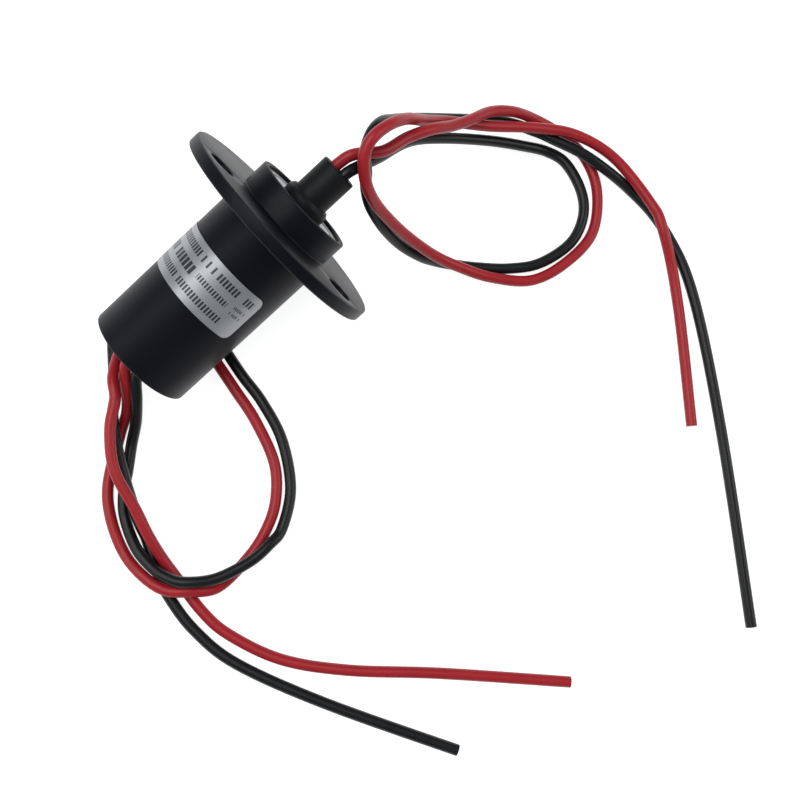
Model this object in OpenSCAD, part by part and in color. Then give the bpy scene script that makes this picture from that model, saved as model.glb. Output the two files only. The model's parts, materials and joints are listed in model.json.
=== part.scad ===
// Capsule slip ring with a mounting flange and two leads on each side.
// The flanged housing and its brushes stand still while the hollow shaft
// turns in two ball bearings. Units are millimetres, +Z is up, and the part
// lies on the table on the rim of its flange and the rim of its rear end.

/* [Housing] */
// Outside diameter of the round body
body_d = 22; // [21.5:0.5:23]
// Length of the body behind the flange
body_l = 36; // [35:0.5:38]
// Diameter of the mounting flange
flange_d = 45; // [44:0.5:48]
// Thickness of the mounting flange
flange_t = 2.5; // [2.2:0.1:3]
// Diameter of the bearing collar in front of the flange
collar_d = 21.2; // [20.6:0.2:22]
// Length of the bearing collar
collar_l = 5.2; // [5:0.1:6]

/* [Mounting holes] */
// Diameter of the three screw holes
hole_d = 5.4; // [3.2:0.1:5.6]
// Diameter of the circle the screw holes stand on
hole_pcd = 35; // [33:0.5:36]
// Turn of the first screw hole from the side of the part
hole_turn = 45; // [0:5:60]

/* [Rotor] */
// Diameter of the shaft in front of the bearing
shaft_d = 7.5; // [7:0.1:7.8]
// Length of shaft standing out of the collar
shaft_out = 8.8; // [8:0.2:9.6]
// Bore of the hollow shaft
shaft_bore_d = 5.2; // [4.9:0.1:5.6]
// Outside diameter of the two slip rings
ring_d = 12.4; // [12.2:0.1:12.8]
// Width of each slip ring
ring_w = 5; // [4.6:0.2:5.2]

/* [Leads] */
// Outside diameter of every lead
lead_d = 2.3; // [2:0.1:2.3]

/* [Hidden] */
$fn = 72;
over = 1;                          // how far a cutter stands past a face

// housing
edge = 0.3;                        // chamfer broken on every outside edge
main_bore_d = 18;
cap_seat_d = 20;
cap_t = 2.6;
front_z = flange_t + collar_l;     // rim of the collar
rear_z = -body_l;                  // rear end of the body
label_t = 0.12;
label_w = 10.3;
label_front_z = -9.5;
label_start = 5;
label_end = 151;
label_corner = 1.5;

// bearings, named by their catalogue sizes
shaft_seat_d = 8;
front_od = 19;
front_w = 6;
front_ball_d = 3;
front_pitch_d = 13.6;
front_balls = 8;
front_recess = 0.7;                // collar rim to bearing face
rear_od = 16;
rear_w = 5;
rear_ball_d = 2.4;
rear_pitch_d = 12;
rear_balls = 9;
land = 0.3;                        // race land beyond the ball, of its diameter
cage_wall = 0.32;                  // of the ball's diameter
cage_height = 1.2;                 // of the ball's diameter
cage_play = 0.03;                  // ball to cage
ball_play = 0.05;
shield_t = 0.3;
shield_inset = 0.2;
shield_play = 0.12;
front_bearing_z = front_z - front_recess - front_w;
cavity_l = 3.4;                    // room behind the rear bearing for the joints
rear_bearing_z = rear_z + cap_t + cavity_l;

// rotor
shaft_front = front_z + shaft_out;
shaft_tail = 0.4;                  // shaft behind the rear bearing
shaft_rear = rear_bearing_z - shaft_tail;
bush_d = 9.6;
bush_l = 2.2;
bush_front = front_z - front_recess + bush_l;
shim_t = 0.5;
shim_d = 10.4;
core_d = 9.6;
core_front = front_bearing_z - shim_t;
barrier_t = 1.6;
barrier_rise = 0.7;                // barrier above the rings
barrier_d = ring_d + 2 * barrier_rise;
core_nose = 3.5;                   // core in front of the first barrier
first_barrier = core_front - core_nose;
ring_a_z = first_barrier - barrier_t - ring_w / 2;
ring_b_z = ring_a_z - ring_w - barrier_t;
core_rear = ring_b_z - ring_w / 2 - barrier_t;
clip_t = 0.6;
clip_d = 10.4;
clip_groove_d = 6.4;
clip_gap = 3;
wire_d = 1.1;                      // thin wires inside the part
wire_hole_d = 1.3;
bore_tail = 2;                     // bore beyond the rear ring's wire
bore_l = shaft_front - ring_b_z + bore_tail;

// brushes
groove_w = 0.7;
groove_depth = 0.5;
groove_step = 1.2;                 // each groove from the middle of its ring
brush_d = 0.5;
brush_l = 10.2;
brush_play = 0.03;
brush_y = ring_d / 2 - groove_depth + brush_d / 2 + brush_play;
board_play = 0.2;                  // barrier to board
board_in = barrier_d / 2 + board_play;
board_t = 1.1;
board_nose = 1;
board_tail = 3;
board_front = ring_a_z + ring_w / 2 + board_nose;
board_rear = ring_b_z - ring_w / 2 - board_tail;
comb_x = 4.2;
comb_w = 1.2;
comb_margin = 0.4;                 // ring's edge to comb
comb_l = ring_w - 2 * comb_margin;
stator_wire_d = 0.9;
stator_wire_r = (rear_od + main_bore_d) / 4;
slot_play = 0.1;                   // each side of a wire in its slot
slot_w = stator_wire_d + 2 * slot_play;
joint_depth = 1.4;                 // cap's inner face to the joints
joint_z = rear_z + cap_t + joint_depth;

// leads
lead_r = lead_d / 2;
pair_y = 1.3;                      // each lead of a pair from the axis
bore_play = 0.25;                  // lead to the wall of the bore
bore_y = (shaft_bore_d - lead_d) / 2 - bore_play;
lead_sides = 8;
steps = 2;                         // rings of the tube per route point
seal_d = 8;
seal_lip = 0.6;
seal_play = 0.05;
seal_hole_d = lead_d + 2 * seal_play;
rotor_lead_depth = 6;              // lead inside the mouth of the shaft
stator_lead_depth = 4.8;           // lead inside the rear end
outlet_d = 13;                     // joint cavity inside the rear cap

// lying on the table
tilt = atan((flange_d - body_d) / 2 / body_l);
rest_z = flange_d / 2 * cos(tilt) - edge * sin(tilt);
span_rear = -body_l * cos(tilt) - (body_d / 2 - edge) * sin(tilt);
span_front = shaft_front * cos(tilt) + (shaft_d / 2 - edge) * sin(tilt);
rest_x = -(span_rear + span_front) / 2;

// A point of the upright part, moved to where it lies.
function placed(side, out) = [
    out * cos(tilt) + rest_x,
    side,
    out * sin(tilt) + rest_z
];

rotor_red_route = concat(
    [for (out = [-rotor_lead_depth, -2.3, 1]) placed(bore_y, shaft_front + out)],
    [
        [30, 0.5, 27.4], [35, -2.2, 26.2], [41, -2.8, 24.4], [46, -4.2, 23], [51, -5.6, 19.4],
        [56, -6.4, 16.2], [61.5, -7, 12.5], [66.5, -9.5, 9.3], [71, -13, 4.5], [74.5, -19, 1.5],
        [75, -26, 1.2], [72, -33, 1.2], [65, -39, 1.2], [56, -40, 1.2], [48, -38, 1.2],
        [41.5, -32, 2.4], [37, -26, 5], [34, -21.5, 8], [31.5, -17, 12.5], [29.5, -13, 17.5],
        [28, -9, 23], [27.6, -6, 28], [28.6, -3.5, 31.2], [30.6, -1.5, 33], [33.6, -0.6, 33.6],
        [37.8, -0.4, 31.8], [42.2, -0.6, 27.5], [47, -1.6, 20.6], [52.5, -3.6, 15], [60, -9, 11],
        [68, -14.5, 8], [75, -21, 5.5], [79, -30, 3.5], [78.5, -42, 3.5], [76.5, -48, 4],
        [70, -61, 1.2], [53.5, -83.5, 1.2]
    ]
);

rotor_black_route = concat(
    [for (out = [-rotor_lead_depth, -2.3, 0.8]) placed(-bore_y, shaft_front + out)],
    [
        [30.3, -1.6, 25.6], [34.6, -1.9, 22.8], [43, -2, 17], [50.5, -5, 12], [59.5, -10.5, 6.5],
        [65.5, -15.5, 3.5], [69.5, -19.5, 1.5], [71, -24, 1.2], [69.5, -30.5, 1.2],
        [66, -35, 1.2], [60, -37.5, 1.2], [52, -36.5, 1.2], [46, -33, 1.2], [41, -28.5, 1.2],
        [37.5, -25, 1.8], [34.5, -22, 3.5], [32, -19.5, 6.5], [29.5, -15.5, 10.5],
        [28, -11.5, 15.5], [27.7, -7.5, 20.2], [28.5, -4.9, 24.1], [29.6, -3.4, 27.4],
        [31, -1.2, 29.7], [34.2, 0.8, 30.6], [37.6, 1.7, 28.6], [41, 1.6, 24.4], [46, 1, 18],
        [53.5, -1.8, 11.2], [64, -9, 7], [69, -14.5, 4.5], [71, -18.5, 4.5], [74.5, -26.5, 4.2],
        [78, -38, 1.2], [77.5, -50, 1.2], [72.5, -64, 1.2], [57, -89.5, 1.2],
        [34.5, -122.5, 1.2]
    ]
);

stator_red_route = concat(
    [for (out = [stator_lead_depth, 2, -0.6]) placed(pair_y, rear_z + out)],
    [
        [-27.3, 0.8, 8.7], [-29.8, -1.9, 6.3], [-33, -5.2, 3.2], [-37, -7.5, 1.3],
        [-45, -13.5, 1.2], [-49, -19, 1.2], [-51.5, -26, 1.2], [-51.5, -32, 2.8],
        [-50, -37, 3.8], [-46.5, -40.5, 3.8], [-42, -43.5, 1.8], [-34, -43, 1.2],
        [-28, -41.3, 1.2], [-22.5, -38, 1.2], [-17.7, -32, 1.2], [-15, -23, 1.2],
        [-14, -15.5, 1.2], [-13, -7.5, 1.2], [-12, -0.5, 1.2], [-13.5, 5, 1.2], [-17.5, 8, 1.2],
        [-22, 8, 1.3], [-26.5, 4.7, 4.2], [-30.6, 1, 7.2], [-33, -2.7, 7.8], [-37.5, -6.5, 7.4],
        [-42, -13, 6.5], [-44, -21.5, 5.5], [-45.5, -27, 4.5], [-46.5, -32, 2.5],
        [-47, -37, 1.2], [-47.5, -45, 1.2], [-46.5, -52, 1.2], [-42, -62.5, 1.2],
        [-33.5, -73, 1.2], [-20, -86, 1.2], [-1.5, -105, 1.2]
    ]
);

stator_black_route = concat(
    [for (out = [stator_lead_depth, 2, -0.6]) placed(-pair_y, rear_z + out)],
    [
        [-27.3, -2.3, 8.5], [-30, -5.2, 6.3], [-33, -8, 3.5], [-36.5, -10.5, 1.5],
        [-40.5, -14, 1.2], [-44, -17, 1.2], [-47, -21, 1.2], [-49, -27, 2.4], [-49, -32, 3.7],
        [-48, -35.5, 4.8], [-46, -38.5, 5.5], [-41, -42, 4.8], [-34, -43.8, 3.8],
        [-29, -43.8, 3], [-25, -43, 1.8], [-18.5, -38, 1.2], [-13.5, -29.5, 1.2],
        [-11.5, -21, 1.2], [-11, -14, 1.2], [-10, -6, 1.2], [-9.5, 0, 1.2], [-11, 6.5, 1.2],
        [-15, 10.5, 1.2], [-20, 11.5, 1.2], [-25, 9, 1.2], [-29, 4, 2.2], [-32.5, -1, 3.2],
        [-36.3, -5, 3.8], [-41, -13.5, 4], [-45, -22.5, 2.5], [-46.5, -27, 1.2], [-49, -33, 1.2],
        [-50.5, -38.5, 1.2], [-51, -47, 1.2], [-49, -57.5, 1.2], [-41, -75, 1.2],
        [-27.5, -99.5, 1.2]
    ]
);

// ---- helpers ----

// Lay the upright part down on the two rims it rests on.
module lying() {
    translate([rest_x, 0, rest_z])
        rotate([0, 90 - tilt, 0])
            children();
}

// A plain tube from z = low upward.
module tube(od, id, low, length) {
    translate([0, 0, low])
        difference() {
            cylinder(d = od, h = length);
            translate([0, 0, -over])
                cylinder(d = id, h = length + 2 * over);
        }
}

// Same thing at each ball of a bearing.
module around(count, radius) {
    for (i = [0 : count - 1])
        rotate([0, 0, i * 360 / count])
            translate([radius, 0, 0])
                children();
}

// Half the width of the gap between the two races.
function race_gap(ball_d) = ball_d * land;

module outer_race(od, width, ball_d, pitch_d, low) {
    r_land = pitch_d / 2 + race_gap(ball_d);
    translate([0, 0, low])
        difference() {
            cylinder(d = od, h = width);
            translate([0, 0, -over])
                cylinder(r = r_land, h = width + 2 * over);
            translate([0, 0, width / 2])
                rotate_extrude()
                    translate([pitch_d / 2, 0])
                        circle(d = ball_d + 2 * ball_play);
            for (z = [-over, width - shield_inset - shield_t])
                translate([0, 0, z])
                    cylinder(r = r_land + shield_inset, h = over + shield_inset + shield_t);
        }
}

module inner_race(width, ball_d, pitch_d, low) {
    translate([0, 0, low])
        difference() {
            cylinder(r = pitch_d / 2 - race_gap(ball_d), h = width);
            translate([0, 0, -over])
                cylinder(d = shaft_seat_d, h = width + 2 * over);
            translate([0, 0, width / 2])
                rotate_extrude()
                    translate([pitch_d / 2, 0])
                        circle(d = ball_d + 2 * ball_play);
        }
}

module ball_set(count, ball_d, pitch_d, width, low) {
    translate([0, 0, low + width / 2])
        around(count, pitch_d / 2)
            sphere(d = ball_d);
}

module ball_cage(count, ball_d, pitch_d, width, low) {
    wall = ball_d * cage_wall;
    height = ball_d * cage_height;
    difference() {
        tube(pitch_d + wall, pitch_d - wall, low + (width - height) / 2, height);
        translate([0, 0, low + width / 2])
            around(count, pitch_d / 2)
                sphere(d = ball_d + 2 * cage_play, $fn = 24);
    }
}

// One shield, pressed into the outer race and clear of the inner one.
module bearing_shield(ball_d, pitch_d, low) {
    gap = race_gap(ball_d);
    outer_r = pitch_d / 2 + gap + shield_inset;
    inner_r = pitch_d / 2 - gap + shield_play;
    tube(2 * outer_r, 2 * inner_r, low, shield_t);
}

// ---- routes and tubes of the leads ----

function unit(v) = v / norm(v);

function between(a, b, c, d, u) =
    (2 * b + (c - a) * u + (2 * a - 5 * b + 4 * c - d) * u * u
    + (3 * b - 3 * c + d - a) * u * u * u) / 2;

// No part of a lead goes lower than the table it lies on.
function on_table(p) = [p.x, p.y, max(p.z, lead_r)];

function smooth(route) = let (last = len(route) - 1) concat(
    [
        for (i = [0 : last - 1]) for (k = [0 : steps - 1])
            on_table(between(
                route[max(i - 1, 0)], route[i], route[i + 1],
                route[min(i + 2, last)], k / steps))
    ],
    [on_table(route[last])]
);

function heading(path, i) =
    unit(path[min(i + 1, len(path) - 1)] - path[max(i - 1, 0)]);

// A side vector carried along the path without twisting.
function sides(path, i = 0, side = [0, 0, 1]) =
    i >= len(path) ? [] : let (
        t = heading(path, i),
        s = unit(side - (side * t) * t)
    ) concat([s], sides(path, i + 1, s));

module lead(route) {
    path = smooth(route);
    side = sides(path);
    n = lead_sides;
    last = len(path) - 1;
    points = [
        for (i = [0 : last]) for (k = [0 : n - 1])
            path[i] + lead_r * (cos(k * 360 / n) * side[i]
            + sin(k * 360 / n) * cross(heading(path, i), side[i]))
    ];
    walls = [
        for (i = [0 : last - 1]) for (k = [0 : n - 1])
            let (a = i * n + k, b = i * n + (k + 1) % n)
                each [[a, a + n, b], [b, a + n, b + n]]
    ];
    near_end = [for (k = [0 : n - 1]) k];
    far_end = [for (k = [n - 1 : -1 : 0]) last * n + k];
    polyhedron(points, concat(walls, [near_end, far_end]), convexity = 10);
}

// ---- still side ----

module stator_housing() {
    color("#191b20")
        lying()
            difference() {
                rotate_extrude()
                    polygon([
                        [0, rear_z],
                        [body_d / 2 - edge, rear_z],
                        [body_d / 2, rear_z + edge],
                        [body_d / 2, 0],
                        [flange_d / 2 - edge, 0],
                        [flange_d / 2, edge],
                        [flange_d / 2, flange_t - edge],
                        [flange_d / 2 - edge, flange_t],
                        [collar_d / 2, flange_t],
                        [collar_d / 2, front_z - edge],
                        [collar_d / 2 - edge, front_z],
                        [0, front_z]
                    ]);
                translate([0, 0, rear_z - over])
                    cylinder(d = main_bore_d, h = body_l + front_z + 2 * over);
                translate([0, 0, rear_z - over])
                    cylinder(d = cap_seat_d, h = cap_t + over);
                translate([0, 0, front_bearing_z])
                    cylinder(d = front_od, h = front_w + front_recess + over);
                for (i = [0 : 2])
                    rotate([0, 0, hole_turn + 90 + i * 120])
                        translate([hole_pcd / 2, 0, -over])
                            cylinder(d = hole_d, h = flange_t + 2 * over);
            }
}

module rear_cap() {
    color("#202228")
        lying()
            difference() {
                union() {
                    translate([0, 0, rear_z])
                        cylinder(d = cap_seat_d, h = cap_t);
                    tube(main_bore_d, outlet_d, rear_z + cap_t, cavity_l);
                    tube(main_bore_d, rear_od, rear_bearing_z, rear_w);
                }
                translate([0, 0, rear_z - over])
                    cylinder(d = seal_d, h = cap_t + 2 * over);
                for (side = [-1, 1])
                    stator_wire_way(side);
            }
}

// The slot each thin wire follows past the rear bearing.
module stator_wire_way(side) {
    translate([-slot_w / 2, side * stator_wire_r - over, joint_z - slot_w / 2])
        cube([slot_w, 2 * over, rear_bearing_z + rear_w - joint_z + slot_w]);
    translate([0, 0, joint_z])
        rotate([-90 * side, 0, 0])
            cylinder(d = slot_w, h = stator_wire_r);
}

module lead_seal() {
    color("#17181b")
        lying()
            difference() {
                union() {
                    translate([0, 0, rear_z])
                        cylinder(d = seal_d, h = cap_t);
                    translate([0, 0, rear_z + cap_t])
                        cylinder(d = seal_d + 2 * seal_lip, h = seal_lip);
                }
                for (side = [-1, 1])
                    translate([0, side * pair_y, rear_z - over])
                        cylinder(d = seal_hole_d, h = cap_t + seal_lip + 2 * over);
            }
}

module rating_label() {
    r = body_d / 2;
    spread = label_corner / r * 180 / PI;
    low = label_front_z - label_w;
    color("#c4c6c8")
        lying()
            rotate([0, 0, 90])
                union() {
                    label_patch(label_start + spread, label_end - spread, low, label_w);
                    label_patch(
                        label_start, label_end,
                        low + label_corner, label_w - 2 * label_corner);
                    intersection() {
                        tube(2 * (r + label_t), 2 * r, low, label_w);
                        for (turn = [label_start + spread, label_end - spread])
                            for (z = [low + label_corner, low + label_w - label_corner])
                                rotate([0, 0, turn])
                                    translate([0, 0, z])
                                        rotate([0, 90, 0])
                                            cylinder(r = label_corner, h = body_d);
                    }
                }
}

// One band of the label between two turns.
module label_patch(start, end, low, width) {
    rotate([0, 0, start])
        rotate_extrude(angle = end - start)
            translate([body_d / 2, low])
                square([label_t, width]);
}

module front_outer_race() {
    color("#b8babc")
        lying()
            outer_race(front_od, front_w, front_ball_d, front_pitch_d, front_bearing_z);
}

module front_shield() {
    color("#d0d1d2")
        lying()
            bearing_shield(
                front_ball_d, front_pitch_d,
                front_bearing_z + front_w - shield_inset - shield_t);
}

module front_inner_shield() {
    color("#d0d1d2")
        lying()
            bearing_shield(front_ball_d, front_pitch_d, front_bearing_z + shield_inset);
}

module rear_outer_race() {
    color("#b8babc")
        lying()
            outer_race(rear_od, rear_w, rear_ball_d, rear_pitch_d, rear_bearing_z);
}

module rear_shield() {
    color("#d0d1d2")
        lying()
            bearing_shield(rear_ball_d, rear_pitch_d, rear_bearing_z + shield_inset);
}

module rear_inner_shield() {
    color("#d0d1d2")
        lying()
            bearing_shield(
                rear_ball_d, rear_pitch_d,
                rear_bearing_z + rear_w - shield_inset - shield_t);
}

// A brush board on one side of the rings, its ends curved to the bore.
module brush_board(side) {
    low = board_rear;
    length = board_front - board_rear;
    difference() {
        intersection() {
            translate([0, 0, low])
                cylinder(d = main_bore_d, h = length);
            union() {
                translate([-body_d / 2, side > 0 ? board_in : -board_in - board_t, low])
                    cube([body_d, board_t, length]);
                for (x = [-comb_x, comb_x])
                    for (z = [ring_a_z, ring_b_z])
                        translate([
                            x - comb_w / 2,
                            side * (board_in + brush_y - brush_d) / 2 - comb_h() / 2,
                            z - comb_l / 2
                        ])
                            cube([comb_w, comb_h(), comb_l]);
            }
        }
        brushes(side, ring_a_z);
        brushes(side, ring_b_z);
        stator_wire(side);
    }
}

// Height of a comb from the board to just under its brushes.
function comb_h() = board_in - brush_y + brush_d;

// The two brush wires that run in the grooves of one ring, on one side.
module brushes(side, ring_z) {
    for (step = [-groove_step, groove_step])
        translate([-brush_l / 2, side * brush_y, ring_z + step])
            rotate([0, 90, 0])
                cylinder(d = brush_d, h = brush_l);
}

module brush_board_left() {
    color("#2c5a3c")
        lying()
            brush_board(1);
}

module brush_board_right() {
    color("#2c5a3c")
        lying()
            brush_board(-1);
}

module brush_wires_a() {
    color("#d9b25c")
        lying()
            for (side = [-1, 1])
                brushes(side, ring_a_z);
}

module brush_wires_b() {
    color("#d9b25c")
        lying()
            for (side = [-1, 1])
                brushes(side, ring_b_z);
}

// A thin wire from a brush board, past the rear bearing, to its lead.
module stator_wire(side) {
    top = board_rear + board_tail;
    translate([0, side * stator_wire_r, joint_z])
        cylinder(d = stator_wire_d, h = top - joint_z);
    translate([0, side * stator_wire_r, joint_z])
        sphere(d = stator_wire_d);
    translate([0, side * (pair_y + lead_r), joint_z])
        rotate([-90 * side, 0, 0])
            cylinder(d = stator_wire_d, h = stator_wire_r - pair_y - lead_r);
}

module stator_wire_red() {
    color("#9b262a")
        lying()
            stator_wire(1);
}

module stator_wire_black() {
    color("#141618")
        lying()
            stator_wire(-1);
}

// ---- turning side ----

module rotor_shaft() {
    color("#1b1d22")
        lying()
            difference() {
                union() {
                    translate([0, 0, shaft_rear])
                        cylinder(d = shaft_seat_d, h = bush_front - shaft_rear);
                    translate([0, 0, bush_front - over])
                        cylinder(d = shaft_d, h = shaft_front - bush_front + over - edge);
                    translate([0, 0, shaft_front - edge])
                        cylinder(d1 = shaft_d, d2 = shaft_d - 2 * edge, h = edge);
                }
                translate([0, 0, shaft_front - bore_l])
                    cylinder(d = shaft_bore_d, h = bore_l + over);
                rotor_wire_hole(1, ring_a_z);
                rotor_wire_hole(-1, ring_b_z);
                tube(shaft_seat_d + 2 * over, clip_groove_d, core_rear - clip_t, clip_t);
            }
}

// Hole from the bore out to a ring.
module rotor_wire_hole(side, z) {
    translate([0, 0, z])
        rotate([-90 * side, 0, 0])
            cylinder(d = wire_hole_d, h = core_d);
}

module retaining_bush() {
    color("#1f2126")
        lying()
            difference() {
                translate([0, 0, bush_front - bush_l]) {
                    cylinder(d = bush_d, h = bush_l - edge);
                    translate([0, 0, bush_l - edge])
                        cylinder(d1 = bush_d, d2 = bush_d - 2 * edge, h = edge);
                }
                translate([0, 0, bush_front - bush_l - over])
                    cylinder(d = shaft_seat_d, h = bush_l + 2 * over);
            }
}

module front_inner_race() {
    color("#b8babc")
        lying()
            inner_race(front_w, front_ball_d, front_pitch_d, front_bearing_z);
}

module rear_inner_race() {
    color("#b8babc")
        lying()
            inner_race(rear_w, rear_ball_d, rear_pitch_d, rear_bearing_z);
}

module shim_washer() {
    color("#a8aaad")
        lying()
            tube(shim_d, shaft_seat_d, core_front, shim_t);
}

module ring_core() {
    color("#d8d2c0")
        lying()
            difference() {
                tube(core_d, shaft_seat_d, core_rear, core_front - core_rear);
                rotor_wire_hole(1, ring_a_z);
                rotor_wire_hole(-1, ring_b_z);
            }
}

module barrier(front) {
    color("#cfc8b4")
        lying()
            tube(barrier_d, core_d, front - barrier_t, barrier_t);
}

module front_barrier() {
    barrier(first_barrier);
}

module middle_barrier() {
    barrier(ring_a_z - ring_w / 2);
}

module rear_barrier() {
    barrier(ring_b_z - ring_w / 2);
}

module slip_ring(z) {
    color("#d4af4e")
        lying()
            difference() {
                tube(ring_d, core_d, z - ring_w / 2, ring_w);
                for (step = [-groove_step, groove_step])
                    tube(
                        ring_d + 2 * over, ring_d - 2 * groove_depth,
                        z + step - groove_w / 2, groove_w);
            }
}

module slip_ring_a() {
    slip_ring(ring_a_z);
}

module slip_ring_b() {
    slip_ring(ring_b_z);
}

module circlip() {
    color("#5b5d60")
        lying()
            difference() {
                tube(clip_d, clip_groove_d, core_rear - clip_t, clip_t);
                translate([-clip_gap / 2, 0, core_rear - clip_t - over])
                    cube([clip_gap, clip_d, clip_t + 2 * over]);
            }
}

// A thin wire along the bore, turned out through the shaft to a ring.
module rotor_wire(side, z) {
    y = side * bore_y;
    top = shaft_front - rotor_lead_depth;
    translate([0, y, z])
        cylinder(d = wire_d, h = top - z);
    translate([0, y, z])
        sphere(d = wire_d);
    translate([0, y, z])
        rotate([-90 * side, 0, 0])
            cylinder(d = wire_d, h = core_d / 2 - bore_y);
}

module rotor_wire_red() {
    color("#9b262a")
        lying()
            rotor_wire(1, ring_a_z);
}

module rotor_wire_black() {
    color("#141618")
        lying()
            rotor_wire(-1, ring_b_z);
}

module front_balls_set() {
    color("#dcdddf")
        lying()
            ball_set(front_balls, front_ball_d, front_pitch_d, front_w, front_bearing_z);
}

module front_cage() {
    color("#c9a14a")
        lying()
            ball_cage(front_balls, front_ball_d, front_pitch_d, front_w, front_bearing_z);
}

module rear_balls_set() {
    color("#dcdddf")
        lying()
            ball_set(rear_balls, rear_ball_d, rear_pitch_d, rear_w, rear_bearing_z);
}

module rear_cage() {
    color("#c9a14a")
        lying()
            ball_cage(rear_balls, rear_ball_d, rear_pitch_d, rear_w, rear_bearing_z);
}

// ---- leads ----

module rotor_lead_red() {
    color("#9b262a")
        lead(rotor_red_route);
}

module rotor_lead_black() {
    color("#141618")
        lead(rotor_black_route);
}

module stator_lead_red() {
    color("#9b262a")
        lead(stator_red_route);
}

module stator_lead_black() {
    color("#141618")
        lead(stator_black_route);
}

stator_housing();
rear_cap();
lead_seal();
rating_label();
front_outer_race();
front_shield();
front_inner_shield();
rear_outer_race();
rear_shield();
rear_inner_shield();
brush_board_left();
brush_board_right();
brush_wires_a();
brush_wires_b();
stator_wire_red();
stator_wire_black();
rotor_shaft();
retaining_bush();
front_inner_race();
rear_inner_race();
shim_washer();
ring_core();
front_barrier();
middle_barrier();
rear_barrier();
slip_ring_a();
slip_ring_b();
circlip();
rotor_wire_red();
rotor_wire_black();
front_balls_set();
front_cage();
rear_balls_set();
rear_cage();
rotor_lead_red();
rotor_lead_black();
stator_lead_red();
stator_lead_black();
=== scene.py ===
import json
import logging
import math
from dataclasses import dataclass, field
from enum import Enum

import bmesh
import bpy
from mathutils import Matrix, Vector


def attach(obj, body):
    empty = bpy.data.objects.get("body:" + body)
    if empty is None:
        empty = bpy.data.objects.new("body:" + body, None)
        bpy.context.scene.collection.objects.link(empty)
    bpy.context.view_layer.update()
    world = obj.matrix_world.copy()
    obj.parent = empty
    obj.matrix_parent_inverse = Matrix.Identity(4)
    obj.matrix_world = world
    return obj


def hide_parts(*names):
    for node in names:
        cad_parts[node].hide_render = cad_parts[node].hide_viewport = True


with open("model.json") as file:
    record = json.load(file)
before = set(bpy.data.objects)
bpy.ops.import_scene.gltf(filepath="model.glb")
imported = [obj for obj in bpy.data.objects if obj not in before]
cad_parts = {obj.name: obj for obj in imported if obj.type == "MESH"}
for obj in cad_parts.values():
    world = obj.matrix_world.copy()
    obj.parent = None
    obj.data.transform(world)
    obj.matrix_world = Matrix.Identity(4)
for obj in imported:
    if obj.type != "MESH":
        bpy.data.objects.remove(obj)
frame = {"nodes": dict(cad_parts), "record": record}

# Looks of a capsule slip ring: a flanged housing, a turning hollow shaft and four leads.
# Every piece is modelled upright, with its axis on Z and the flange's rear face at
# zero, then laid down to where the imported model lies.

log = logging.getLogger("slip_ring")

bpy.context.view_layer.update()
MM = 0.001
ON_AXIS = 0.00001                  # radius of a ring that closes to a pole, in millimetres

Point = tuple[float, float, float]
Ring = tuple[float, float]
Colour = tuple[float, float, float, float]


class Body(Enum):
    """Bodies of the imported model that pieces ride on."""

    STATOR = "stator"
    ROTOR = "rotor"


class Insulation(Enum):
    """Colours a lead's insulation comes in."""

    RED = (0.335, 0.012, 0.018, 1.0)
    BLACK = (0.0042, 0.0044, 0.0050, 1.0)


@dataclass(frozen=True)
class Resting:
    """How the upright part is laid down.

    Attributes:
        origin: Centre of the flange's rear face where the part lies.
        axis: Unit vector along the shaft, out of the front.
    """

    origin: Vector
    axis: Vector

    @classmethod
    def from_record(cls, flange_t: float) -> "Resting":
        """Reads the place of the flange from its screw pattern.

        Args:
            flange_t: Thickness of the flange in millimetres.

        Returns:
            The resting place of the part.
        """
        mounts = frame["record"]["mounts"]
        screws = next(m for m in mounts if m["name"] == "flange_screws")
        axis = Vector(screws["axis"]).normalized()
        middle = Vector(screws["pos_m"])
        return cls(middle - axis * flange_t / 2 * MM, axis)

    def matrix(self) -> Matrix:
        """Returns the turn and move that lays the upright part down."""
        across = Vector((0, 1, 0))
        down = across.cross(self.axis)
        place = Matrix((down, across, self.axis)).transposed().to_4x4()
        place.translation = self.origin
        return place

    def placed(self, side: float, out: float) -> Point:
        """Gives a point of the upright part where it lies.

        Args:
            side: Millimetres to the side of the axis, level with the table.
            out: Millimetres along the axis from the flange's rear face.

        Returns:
            The point in metres.
        """
        return tuple(self.matrix() @ Vector((0, side * MM, out * MM)))

    def span(self, node: str) -> tuple[float, float, float]:
        """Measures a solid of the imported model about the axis.

        Args:
            node: Name of the solid's node.

        Returns:
            Its largest radius and its low and high end along the axis, in millimetres.
        """
        upright = self.matrix().inverted()
        solid = frame["nodes"][node]
        points = [upright @ (solid.matrix_world @ v.co) / MM for v in solid.data.vertices]
        heights = [p.z for p in points]
        reach = max(math.hypot(p.x, p.y) for p in points)
        return round(reach, 2), round(min(heights), 2), round(max(heights), 2)


# ---- modelling ----


def deselect() -> None:
    """Clears the selection, because operators act on all that is selected."""
    if bpy.context.mode != "OBJECT":
        bpy.ops.object.mode_set(mode="OBJECT")
    bpy.ops.object.select_all(action="DESELECT")


def pick(obj: bpy.types.Object) -> None:
    """Selects one object alone and makes it active."""
    deselect()
    obj.select_set(True)
    bpy.context.view_layer.objects.active = obj


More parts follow.
